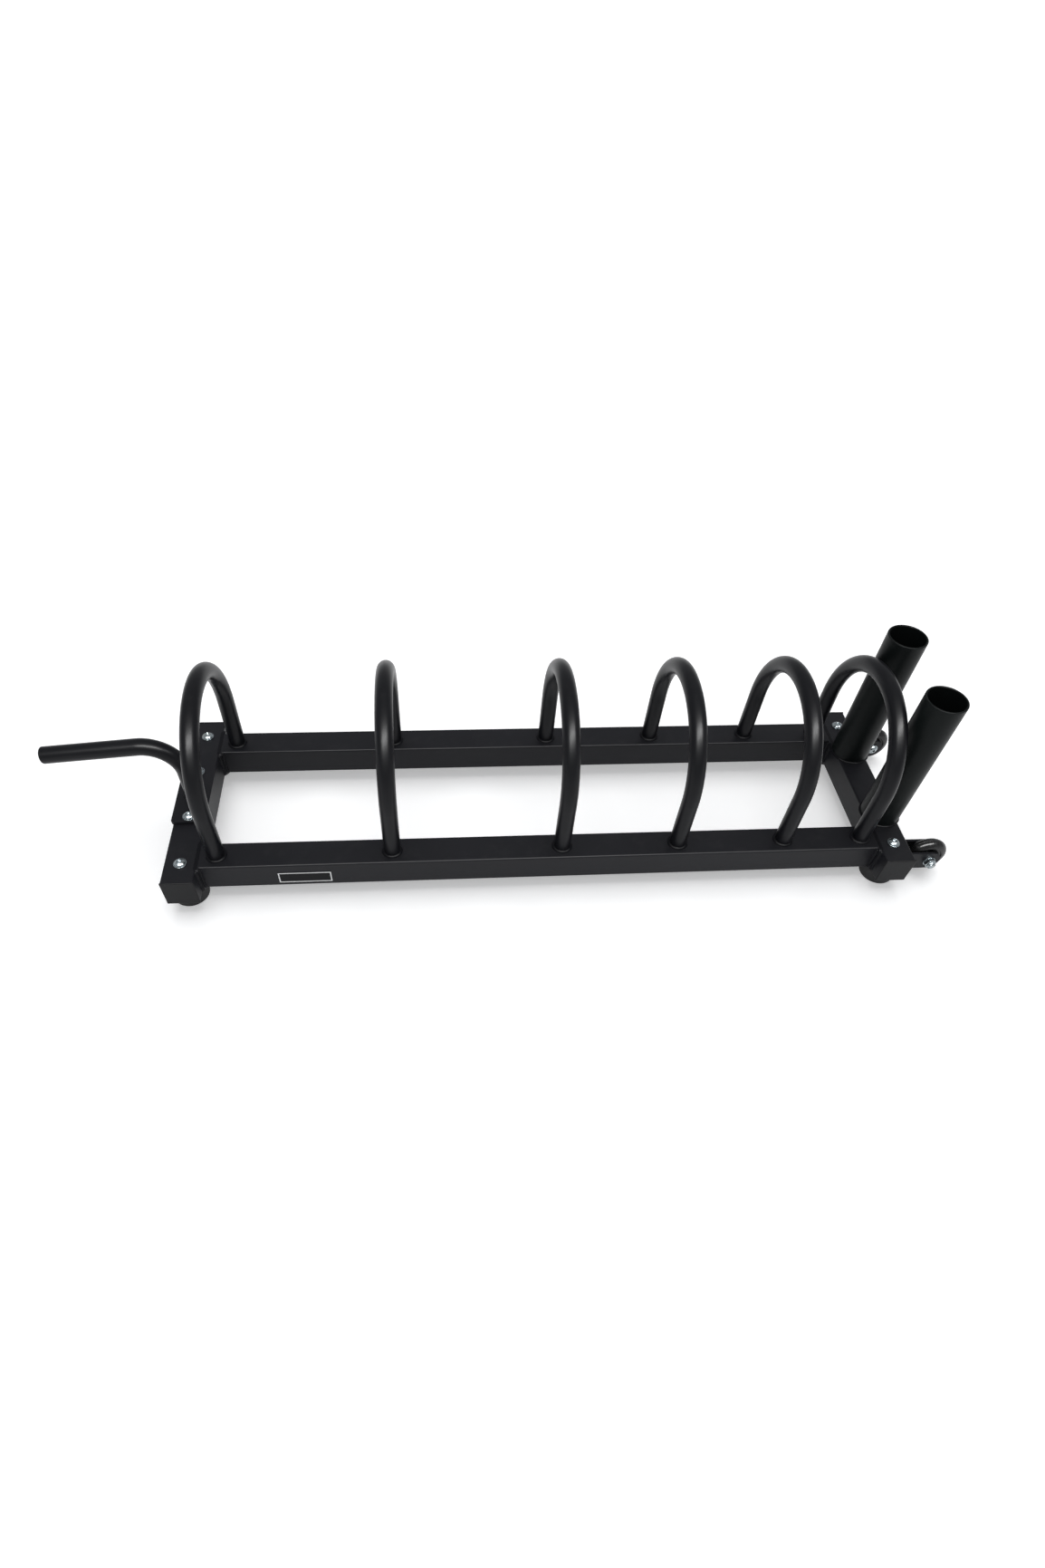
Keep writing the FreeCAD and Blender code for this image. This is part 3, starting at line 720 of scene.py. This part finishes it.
class RackStudio(bpy.types.PropertyGroup):
    """Floor, lights and camera."""

    floor_colour: colour_setting("Floor", "Floor", (0.90, 0.90, 0.905))
    floor_glow: number_setting("Floor glow", "How strongly the floor is lit from below", 0.32, 0.0, 5.0)
    sky: number_setting("Sky", "Strength of the light from all round", 0.50, 0.0, 10.0)
    zenith: number_setting("Overhead light", "Strength of the soft light from overhead", 1.5, 0.0, 100.0)
    strip: bpy.props.FloatProperty(
        name="Strip light", description="Power of the long light that draws streaks on the tubes",
        default=300.0, unit="POWER", min=0.0, max=5000.0)
    lens: number_setting("Lens", "Focal length in millimetres", 18.629, 5.0, 200.0)
    place: bpy.props.FloatVectorProperty(
        name="Camera place", description="Where the camera stands", subtype="TRANSLATION", unit="LENGTH",
        default=(-0.1276, -0.9517, 1.0787))
    turn: bpy.props.FloatVectorProperty(
        name="Camera turn", description="Turn to the right, downwards and about the line of sight",
        subtype="EULER", unit="ROTATION", default=(0.1239, 0.8991, -0.0674))
    shift: bpy.props.FloatVectorProperty(
        name="Camera shift", description="Shift of the picture, as a share of its long side", size=2,
        default=(0.0135, 0.0504))


# ---------------------------------------------------------------- operators

class RACK_OT_finishes(bpy.types.Operator):
    """Make the finishes and give the frame's own steel, plastic and rubber parts theirs"""

    bl_idname = "rack.finishes"
    bl_label = "Finishes"

    def execute(self, context):
        finish = context.scene.rack_finish
        MATERIALS.update(
            coat=powder_coat("satin_black_coat", finish, finish.coat_colour, finish.coat_shine),
            # The hoops and the handle take the darker copy of the coat colour: painted shade.
            hoop=powder_coat("satin_black_hoops_painted_shade", finish, finish.hoop_shaded_colour, finish.tube_shine, gloss=0.09),
            holder=powder_coat("satin_black_holders", finish, finish.holder_colour, finish.tube_shine * 0.6),
            # Painted shade: the weld beads take the darker hoop colour. This paints the dark shadow ring
            # round the hoops' feet and darkens every other bead too.
            bead=powder_coat("coated_weld_painted_shade", finish, finish.hoop_shaded_colour, finish.tube_shine * 0.5),
            zinc=zinc_plate("bright_zinc", finish),
            cap=moulded("moulded_black_caps", finish.cap_colour, 0.44, 1300.0, 0.00008, 0.14),
            rubber=moulded("black_foot_rubber", finish.foot_colour, 0.66, 900.0, 0.0001, 0.3),
            hub=moulded("black_hub_plastic", finish.hub_colour, 0.22, 700.0, 0.00003, 0.25),
            nylon=moulded("dark_nylon", finish.nylon_colour, 0.48, 1500.0, 0.00003),
            tyre=worn_tread("black_tyre_rubber", finish),
            badge=badge_film("blank_badge_film", finish),
        )
        slots = {s["node"]: s["material_slot"] for s in frame["record"]["subparts"]}
        kinds = {
            "black_powder_coat": "coat", "zinc_steel": "zinc", "black_plastic": "cap",
            "foot_rubber": "rubber", "wheel_tyre": "tyre", "wheel_hub": "hub", "badge": "badge",
        }
        tubes = dict.fromkeys(HOOPS + ["handle_tube"], "hoop")
        for side, _ in SIDES:
            tubes |= dict.fromkeys([f"{side}_bar_holder", f"{side}_bar_holder_floor"], "holder")
        for node, thing in frame["nodes"].items():
            thing.data.materials.clear()
            thing.data.materials.append(finish_of(tubes.get(node, kinds[slots[node]])))
        return {"FINISHED"}


class RACK_OT_hoop_welds(bpy.types.Operator):
    """Lay a weld bead round both feet of every hoop"""

    bl_idname = "rack.hoop_welds"
    bl_label = "Hoop welds"

    def execute(self, context):
        welds = context.scene.rack_welds
        deck = high("front_rail")[2]
        for hoop in HOOPS:
            radius = half_size(hoop)[0]
            x = middle(hoop)[0]
            beads = [ring_bead((x, y, deck), radius, welds.leg, welds)
                     for y in (low(hoop)[1] + radius, high(hoop)[1] - radius)]
            piece(f"{hoop}_weld", beads, finish_of("bead"))
        return {"FINISHED"}


class RACK_OT_holder_welds(bpy.types.Operator):
    """Lay a weld bead round each bar holder's foot, and run the tube's own seam up inside it"""

    bl_idname = "rack.holder_welds"
    bl_label = "Bar holder welds"

    def execute(self, context):
        welds = context.scene.rack_welds
        for side, _ in SIDES:
            floor, holder = f"{side}_bar_holder_floor", f"{side}_bar_holder"
            radius = half_size(floor)[0]
            foot = middle(floor)
            foot[2] = low(floor)[2]
            piece(f"{side}_bar_holder_weld", [ring_bead(foot, radius, welds.leg * 0.8, welds)],
                  finish_of("bead"))
            inside = middle(holder) + Y * (radius - welds.holder_wall)
            bottom, top = low(holder)[2] + 0.0005, high(holder)[2] - 0.0015
            seam = ground_strip((inside[0], inside[1], bottom), (inside[0], inside[1], top), X, Y,
                                welds.seam_width, SEAM_DEPTH, SEAM_CROWN)
            piece(f"{side}_bar_holder_seam", [seam], finish_of("holder"))
        return {"FINISHED"}


class RACK_OT_end_plate_welds(bpy.types.Operator):
    """Weld the rails' end plates to the rails and to the cross members, ground flush on top"""

    bl_idname = "rack.end_plate_welds"
    bl_label = "End plate welds"

    def execute(self, context):
        welds = context.scene.rack_welds
        leg = welds.plate_leg
        for side, _ in SIDES:
            for end, toward in ENDS:
                plate = f"{side}_rail_{end}_plate"
                box_low, box_high = low(plate), high(plate)
                outer = box_high[0] if toward > 0 else box_low[0]
                inner = box_low[0] if toward > 0 else box_high[0]
                rail_low, rail_high = low(f"{side}_rail"), high(f"{side}_rail")
                bottom, top = box_low[2] + 0.0015, box_high[2] - 0.001
                beads = []
                for y, away in ((box_low[1], -1), (box_high[1], 1)):
                    beads.append(straight_bead((outer, y, bottom), (outer, y, top), -toward * X, away * Y,
                                               leg, welds))
                for y, away in ((rail_low[1], -1), (rail_high[1], 1)):
                    beads.append(straight_bead((inner, y, bottom), (inner, y, top - 0.002), -toward * X,
                                               away * Y, leg * 0.8, welds))
                start, stop = [(outer, y, box_low[2]) for y in (box_low[1] + leg, box_high[1] - leg)]
                beads.append(straight_bead(start, stop, -toward * X, -Z, leg * 0.7, welds))
                start, stop = [(outer + toward * GROUND_OFFSET, y, box_high[2])
                               for y in (box_low[1] + GROUND_INSET, box_high[1] - GROUND_INSET)]
                beads.append(ground_strip(start, stop, X, -Z, *GROUND_SECTION))
                piece(f"{plate}_weld", beads, finish_of("bead"))
        return {"FINISHED"}


class RACK_OT_bracket_welds(bpy.types.Operator):
    """Weld the wheel brackets to the cross member along their top and both sides"""

    bl_idname = "rack.bracket_welds"
    bl_label = "Bracket welds"

    def execute(self, context):
        welds = context.scene.rack_welds
        leg = welds.plate_leg * 0.85
        root = high("wheel_end_cross_member")[0]
        member_low = low("wheel_end_cross_member")[2]
        for side, _ in SIDES:
            box_low, box_high = low(f"{side}_wheel_bracket"), high(f"{side}_wheel_bracket")
            bottom, top, below = member_low + 0.004, box_high[2], box_high[2] - welds.plate_leg * 0.4
            beads = [straight_bead((root, y, bottom), (root, y, below), X, away * Y, leg, welds)
                     for y, away in ((box_low[1], -1), (box_high[1], 1))]
            beads.append(straight_bead((root, box_low[1] + 0.001, top), (root, box_high[1] - 0.001, top),
                                       X, Z, leg, welds))
            piece(f"{side}_wheel_bracket_weld", beads, finish_of("bead"))
        return {"FINISHED"}


class RACK_OT_handle_weld(bpy.types.Operator):
    """Lay a weld bead round the tow handle's foot"""

    bl_idname = "rack.handle_weld"
    bl_label = "Handle weld"

    def execute(self, context):
        welds = context.scene.rack_welds
        foot = middle("handle_base_plate")
        foot[2] = high("handle_base_plate")[2]
        beads = [ring_bead(foot, half_size("handle_tube")[1], welds.leg, welds)]
        piece("handle_weld", beads, finish_of("bead"))
        return {"FINISHED"}


class RACK_OT_fasteners(bpy.types.Operator):
    """Make the bolts, washers and nuts of the feet and of the handle's base plate"""

    bl_idname = "rack.fasteners"
    bl_label = "Fasteners"

    def execute(self, context):
        sizes = context.scene.rack_fasteners
        feet = [middle(f"{side}_{end}_foot") for side, _ in SIDES for end, _ in ENDS]
        spread = high("handle_washers")[1] - sizes.washer_radius
        plate = [middle("handle_washers") + away * spread * Y for away in (-1, 1)]
        for group, places in (("foot", feet), ("handle", plate)):
            nodes = {kind: f"{group}_{kind}" for kind in ("bolts", "washers", "nuts")}
            head, lower = high(nodes["washers"])[2], low(nodes["washers"])[2]
            reach = head - low(nodes["bolts"])[2]
            nut_height = high(nodes["nuts"])[2] - low(nodes["nuts"])[2]
            bolts, washers, nuts = [], [], []
            for x, y, _ in places:
                bolts.append(button_bolt((x, y, head), -Z, reach, sizes))
                washers += [washer((x, y, head), -Z, sizes), washer((x, y, lower), Z, sizes)]
                nuts.append(hexagon_nut((x, y, lower), -Z, nut_height, sizes))
            for name, parts, node in ((f"{group}_button_bolts", bolts, nodes["bolts"]),
                                      (f"{group}_plain_washers", washers, nodes["washers"]),
                                      (f"{group}_hexagon_nuts", nuts, nodes["nuts"])):
                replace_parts(piece(name, parts, finish_of("zinc")), node)
        return {"FINISHED"}


class RACK_OT_axles(bpy.types.Operator):
    """Make the wheels' bolts, washers, lock nuts and the nuts' inserts"""

    bl_idname = "rack.axles"
    bl_label = "Axles"

    def execute(self, context):
        sizes = context.scene.rack_fasteners
        for side, out in SIDES:
            bolt, washers, nut = [f"{side}_axle_{kind}" for kind in ("bolt", "washers", "nut")]
            centre = middle(bolt)
            centre[1] = 0
            away = out * Y

            def faces(node):
                """How far out along Y a node's inner and outer faces are."""
                return sorted((low(node) @ away, high(node) @ away))

            def at(distance):
                """Point on the axle at a distance out along Y."""
                return centre + away * distance

            (seat, face), tip = faces(washers), faces(bolt)[1]
            height = faces(nut)[1] - face
            shank, collar = sizes.shank_radius, sizes.collar
            rings = [washer(at(seat), away, sizes), washer(at(face), -away, sizes)]
            for name, parts, node in (
                    ("button_bolt", [button_bolt(at(seat), away, tip - seat, sizes)], bolt),
                    ("plain_washers", rings, washers),
                    ("lock_nut", [hexagon_nut(at(face), away, height, sizes, collar=collar)], nut)):
                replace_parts(piece(f"{side}_axle_{name}", parts, finish_of("zinc")), node)
            insert = plain_ring(at(face + height - collar - 0.0004), away, shank - 0.0002, shank + 0.0012,
                                collar - 0.0005, 0.0003)
            piece(f"{side}_lock_nut_insert", [insert], finish_of("nylon"))
        return {"FINISHED"}


class RACK_OT_wheels(bpy.types.Operator):
    """Make the tyres and hubs, which turn with their wheels"""

    bl_idname = "rack.wheels"
    bl_label = "Wheels"

    def execute(self, context):
        wheel = context.scene.rack_wheels
        for side, _ in SIDES:
            tyre, hub = f"{side}_wheel_tyre", f"{side}_wheel_hub"
            centre, body = middle(tyre), body_of(tyre)
            radius, half, _ = half_size(tyre)
            rim, boss_half, _ = half_size(hub)
            bore = half_size(f"{side}_axle_sleeve")[0] + BORE_CLEARANCE
            profile = tyre_profile(radius - TYRE_SLACK, half, rim, wheel.parting_line)
            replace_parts(piece(f"{side}_moulded_tyre", [turned(profile, centre, Y, 144, loop=True)],
                              finish_of("tyre"), body), tyre)
            parts = [turned(hub_profile(rim, boss_half, bore), centre, Y, 96, loop=True)]
            parts += hub_ribs(centre, wheel.rib_count, rim - RIB_INSET, wheel.rib_width / 2)
            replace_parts(piece(f"{side}_ribbed_hub", parts, finish_of("hub"), body), hub)
        return {"FINISHED"}


FLOOR_REACH = 60.0
OVERHEAD_PLACE = (0.0, 0.9, 4.0)
STRIP_PLACE, STRIP_TARGET = (0.2, -1.55, 2.75), (0.0, 0.0, 0.25)
SKY_COLOUR = (0.97, 0.985, 1.0, 1.0)
WHITE = (1.0, 1.0, 1.0, 1.0)
SENSOR_WIDTH = 36.0


class RACK_OT_stage(bpy.types.Operator):
    """Set up the pale floor, the soft lights and the camera"""

    bl_idname = "rack.stage"
    bl_label = "Stage"

    def execute(self, context):
        studio = context.scene.rack_studio
        graph = Graph("pale_floor", Specular_IOR_Level=0.1, Emission_Color=WHITE,
                      Emission_Strength=studio.floor_glow)
        mottle = graph.noise(1.4, 2.0)
        tone = graph.blend(mottle, shade(studio.floor_colour, 0.995), shade(studio.floor_colour, 1.0))
        graph.feed(Base_Color=tone, Roughness=0.82 + mottle * 0.06)
        mesh = bpy.data.meshes.new("floor")
        corners = [(x * FLOOR_REACH, y * FLOOR_REACH, 0) for x, y in ((-1, -1), (1, -1), (1, 1), (-1, 1))]
        mesh.from_pydata(corners, [], [(0, 1, 2, 3)])
        mesh.materials.append(graph.material)
        floor = bpy.data.objects.new("floor", mesh)
        context.scene.collection.objects.link(floor)
        overhead = self.lamp(context, "overhead", "SUN", studio.zenith, OVERHEAD_PLACE, (0.0, 0.0, 0.0),
                             {"angle": math.radians(50)})
        overhead.visible_glossy = False
        strip = self.lamp(context, "strip", "AREA", studio.strip, STRIP_PLACE, STRIP_TARGET,
                          {"shape": "RECTANGLE", "size": 4.0, "size_y": 0.45})
        strip.visible_diffuse = False
        self.surroundings(context, studio)
        context.scene.view_settings.view_transform = "Standard"
        self.camera(context, studio)
        return {"FINISHED"}

    def surroundings(self, context, studio):
        """Soft grey sky that lights the rack. Where the sky itself is seen, beyond the floor, it is
        white."""
        world = bpy.data.worlds.new("studio")
        world.use_nodes = True
        tree = world.node_tree
        sky = tree.nodes["Background"]
        sky.inputs["Color"].default_value = SKY_COLOUR
        sky.inputs["Strength"].default_value = studio.sky
        backdrop = tree.nodes.new("ShaderNodeBackground")
        backdrop.inputs["Color"].default_value = WHITE
        seen = tree.nodes.new("ShaderNodeLightPath")
        either = tree.nodes.new("ShaderNodeMixShader")
        tree.links.new(seen.outputs["Is Camera Ray"], either.inputs["Fac"])
        tree.links.new(sky.outputs["Background"], either.inputs[1])
        tree.links.new(backdrop.outputs["Background"], either.inputs[2])
        tree.links.new(either.outputs["Shader"], tree.nodes["World Output"].inputs["Surface"])
        context.scene.world = world

    def lamp(self, context, name, kind, power, place, target, settings):
        """Soft light at a place, turned to a target; returned so that its reach can be set."""
        data = bpy.data.lights.new(name, kind)
        data.energy = power
        for key, value in settings.items():
            setattr(data, key, value)
        lamp = bpy.data.objects.new(name, data)
        lamp.location = place
        aim = Vector(target) - Vector(place)
        lamp.rotation_euler = aim.to_track_quat("-Z", "Y").to_euler()
        context.scene.collection.objects.link(lamp)
        return lamp

    def camera(self, context, studio):
        """Camera from its place and its three turns: right, then down, then about its line of sight."""
        data = bpy.data.cameras.new("view")
        data.lens = studio.lens
        data.sensor_width = SENSOR_WIDTH
        data.shift_x, data.shift_y = studio.shift
        data.clip_start, data.clip_end = 0.02, 200.0
        right_turn, down_turn, roll = studio.turn
        forward = np.array([math.sin(right_turn), math.cos(right_turn), 0.0])
        ahead = math.cos(down_turn) * forward - math.sin(down_turn) * Z
        level = np.array([math.cos(right_turn), -math.sin(right_turn), 0.0])
        below = np.cross(ahead, level)
        right = math.cos(roll) * level + math.sin(roll) * below
        down = math.cos(roll) * below - math.sin(roll) * level
        turn = Matrix([[right[k], -down[k], -ahead[k]] for k in range(3)])
        camera = bpy.data.objects.new("view", data)
        camera.matrix_world = Matrix.Translation(studio.place) @ turn.to_4x4()
        context.scene.collection.objects.link(camera)
        context.scene.camera = camera


class RACK_PT_sidebar(bpy.types.Panel):
    """Sizes, colours and steps of the rack"""

    bl_label = "Plate rack"
    bl_idname = "RACK_PT_sidebar"
    bl_space_type = "VIEW_3D"
    bl_region_type = "UI"
    bl_category = "Rack"

    def draw(self, context):
        for title, key in GROUPS:
            box = self.layout.box()
            box.label(text=title)
            settings = getattr(context.scene, key)
            for name in settings.__annotations__:
                box.prop(settings, name)
        for operator in STEPS:
            self.layout.operator(operator.bl_idname)


GROUPS = (("Finish", "rack_finish"), ("Welds", "rack_welds"), ("Fasteners", "rack_fasteners"),
          ("Wheels", "rack_wheels"), ("Studio", "rack_studio"))
SETTINGS = (RackFinish, RackWelds, RackFasteners, RackWheels, RackStudio)
STEPS = (RACK_OT_finishes, RACK_OT_hoop_welds, RACK_OT_holder_welds, RACK_OT_end_plate_welds,
         RACK_OT_bracket_welds, RACK_OT_handle_weld, RACK_OT_fasteners, RACK_OT_axles, RACK_OT_wheels,
         RACK_OT_stage)


def register():
    """Make the settings, the steps and the panel known."""
    for kind in SETTINGS + STEPS + (RACK_PT_sidebar,):
        bpy.utils.register_class(kind)
    for (_, key), kind in zip(GROUPS, SETTINGS):
        setattr(bpy.types.Scene, key, bpy.props.PointerProperty(type=kind))


def unregister():
    """Take the panel, the steps and the settings away again."""
    for _, key in GROUPS:
        delattr(bpy.types.Scene, key)
    for kind in reversed(SETTINGS + STEPS + (RACK_PT_sidebar,)):
        bpy.utils.unregister_class(kind)


def main():
    """Run every step in order."""
    register()
    for step in STEPS:
        group, name = step.bl_idname.split(".")
        getattr(getattr(bpy.ops, group), name)()


if __name__ == "__main__":
    main()
